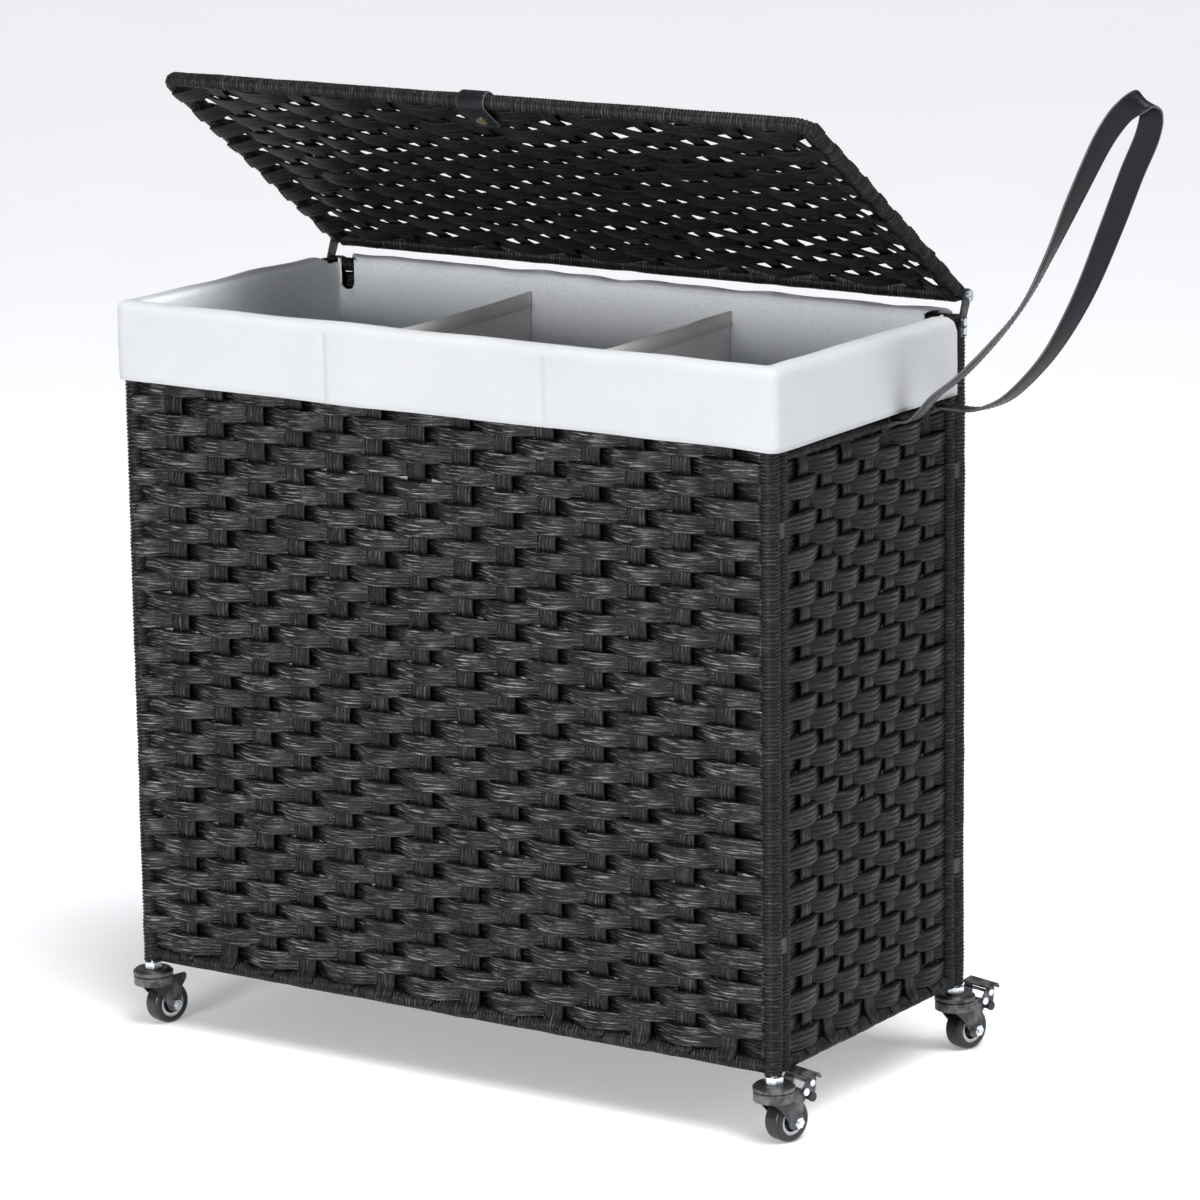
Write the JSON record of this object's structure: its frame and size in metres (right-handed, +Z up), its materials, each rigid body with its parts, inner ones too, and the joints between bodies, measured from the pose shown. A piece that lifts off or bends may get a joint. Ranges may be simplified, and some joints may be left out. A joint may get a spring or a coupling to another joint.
{
  "type": "laundry sorter",
  "caption": "Woven laundry basket on swivel casters, with a hinged woven lid standing open, a cloth liner split into compartments and a pull strap.",
  "frame": {"origin": "on the floor, under the middle of the basket", "axes": "+X to the right along the width, towards the side with the strap; +Y from the front to the hinge side; +Z up"},
  "size_m": [0.8184, 0.3311, 0.7923],
  "materials": {
    "frame_steel": "satin",
    "woven_cane": "satin",
    "clip_plastic": "matte",
    "liner_cloth": "matte",
    "divider_cloth": "matte",
    "hinge_metal": "satin",
    "zinc": "satin",
    "strap_leather": "satin",
    "snap_brass": "satin",
    "rivet_black": "satin",
    "caster_metal": "satin",
    "hub_plastic": "satin",
    "tyre_rubber": "satin",
    "brake_rubber": "matte"
  },
  "bodies": {
    "basket": {"front_frame": "frame_steel", "back_frame": "frame_steel", "left_frame": "frame_steel", "right_frame": "frame_steel", "base_frame": "frame_steel", "front_weave": "woven_cane", "back_weave": "woven_cane", "left_weave": "woven_cane", "right_weave": "woven_cane", "base_weave": "woven_cane", "corner_clips": "clip_plastic", "base_clips": "clip_plastic", "liner": "liner_cloth", "liner_divider_left": "divider_cloth", "liner_divider_right": "divider_cloth", "hinge_bracket_left": "hinge_metal", "hinge_bracket_right": "hinge_metal", "bracket_screws": "zinc", "caster_sockets": "zinc", "caster_balls": "zinc", "caster_stem_front_left": "zinc", "caster_cap_front_left": "caster_metal", "caster_stem_front_right": "zinc", "caster_cap_front_right": "caster_metal", "caster_stem_back_left": "zinc", "caster_cap_back_left": "caster_metal", "caster_stem_back_right": "zinc", "caster_cap_back_right": "caster_metal"},
    "lid": {"lid_frame": "frame_steel", "lid_weave": "woven_cane", "lid_pivot_screws": "zinc", "pull_tab": "strap_leather", "pull_tab_snap": "snap_brass"},
    "strap": {"handle_strap": "strap_leather", "handle_rivets": "rivet_black"},
    "swivel_front_left": {"caster_fork_front_left": "caster_metal", "caster_axle_front_left": "zinc"},
    "wheel_front_left": {"caster_hub_front_left": "hub_plastic", "caster_tyre_front_left": "tyre_rubber"},
    "swivel_front_right": {"caster_fork_front_right": "caster_metal", "caster_axle_front_right": "zinc", "brake_pin_front_right": "zinc"},
    "wheel_front_right": {"caster_hub_front_right": "hub_plastic", "caster_tyre_front_right": "tyre_rubber"},
    "swivel_back_left": {"caster_fork_back_left": "caster_metal", "caster_axle_back_left": "zinc"},
    "wheel_back_left": {"caster_hub_back_left": "hub_plastic", "caster_tyre_back_left": "tyre_rubber"},
    "swivel_back_right": {"caster_fork_back_right": "caster_metal", "caster_axle_back_right": "zinc", "brake_pin_back_right": "zinc"},
    "wheel_back_right": {"caster_hub_back_right": "hub_plastic", "caster_tyre_back_right": "tyre_rubber"},
    "brake_front_right": {"brake_pedal_front_right": "caster_metal", "brake_shoe_front_right": "brake_rubber", "brake_link_pin_front_right": "zinc"},
    "brake_back_right": {"brake_pedal_back_right": "caster_metal", "brake_shoe_back_right": "brake_rubber", "brake_link_pin_back_right": "zinc"}
  },
  "joints": [
    {"name": "lid_hinge", "type": "hinge", "parent": "basket", "child": "lid", "pos_m": [0, 0.145, 0.6125], "axis": [-1, 0, 0], "range_deg": [-35, 170]},
    {"name": "strap_swing", "type": "hinge", "parent": "basket", "child": "strap", "pos_m": [0.298, 0.072, 0.531], "axis": [0, 1, 0], "range_deg": [-15, 70]},
    {"name": "swivel_front_left", "type": "hinge", "parent": "basket", "child": "swivel_front_left", "pos_m": [-0.298, -0.138, 0.043], "axis": [0, 0, 1], "continuous": true},
    {"name": "wheel_spin_front_left", "type": "hinge", "parent": "swivel_front_left", "child": "wheel_front_left", "pos_m": [-0.29464, -0.12544, 0.017], "axis": [-0.9659, 0.2588, 0], "continuous": true},
    {"name": "swivel_front_right", "type": "hinge", "parent": "basket", "child": "swivel_front_right", "pos_m": [0.298, -0.138, 0.043], "axis": [0, 0, 1], "continuous": true},
    {"name": "wheel_spin_front_right", "type": "hinge", "parent": "swivel_front_right", "child": "wheel_front_right", "pos_m": [0.30136, -0.12544, 0.017], "axis": [-0.9659, 0.2588, 0], "continuous": true},
    {"name": "swivel_back_left", "type": "hinge", "parent": "basket", "child": "swivel_back_left", "pos_m": [-0.298, 0.138, 0.043], "axis": [0, 0, 1], "continuous": true},
    {"name": "wheel_spin_back_left", "type": "hinge", "parent": "swivel_back_left", "child": "wheel_back_left", "pos_m": [-0.29464, 0.15056, 0.017], "axis": [-0.9659, 0.2588, 0], "continuous": true},
    {"name": "swivel_back_right", "type": "hinge", "parent": "basket", "child": "swivel_back_right", "pos_m": [0.298, 0.138, 0.043], "axis": [0, 0, 1], "continuous": true},
    {"name": "wheel_spin_back_right", "type": "hinge", "parent": "swivel_back_right", "child": "wheel_back_right", "pos_m": [0.30136, 0.15056, 0.017], "axis": [-0.9659, 0.2588, 0], "continuous": true},
    {"name": "brake_front_right", "type": "hinge", "parent": "swivel_front_right", "child": "brake_front_right", "pos_m": [0.30344, -0.11772, 0.0398], "axis": [-0.9659, 0.2588, 0], "range_deg": [0, 13]},
    {"name": "brake_back_right", "type": "hinge", "parent": "swivel_back_right", "child": "brake_back_right", "pos_m": [0.30344, 0.15828, 0.0398], "axis": [-0.9659, 0.2588, 0], "range_deg": [0, 13]}
  ]
}
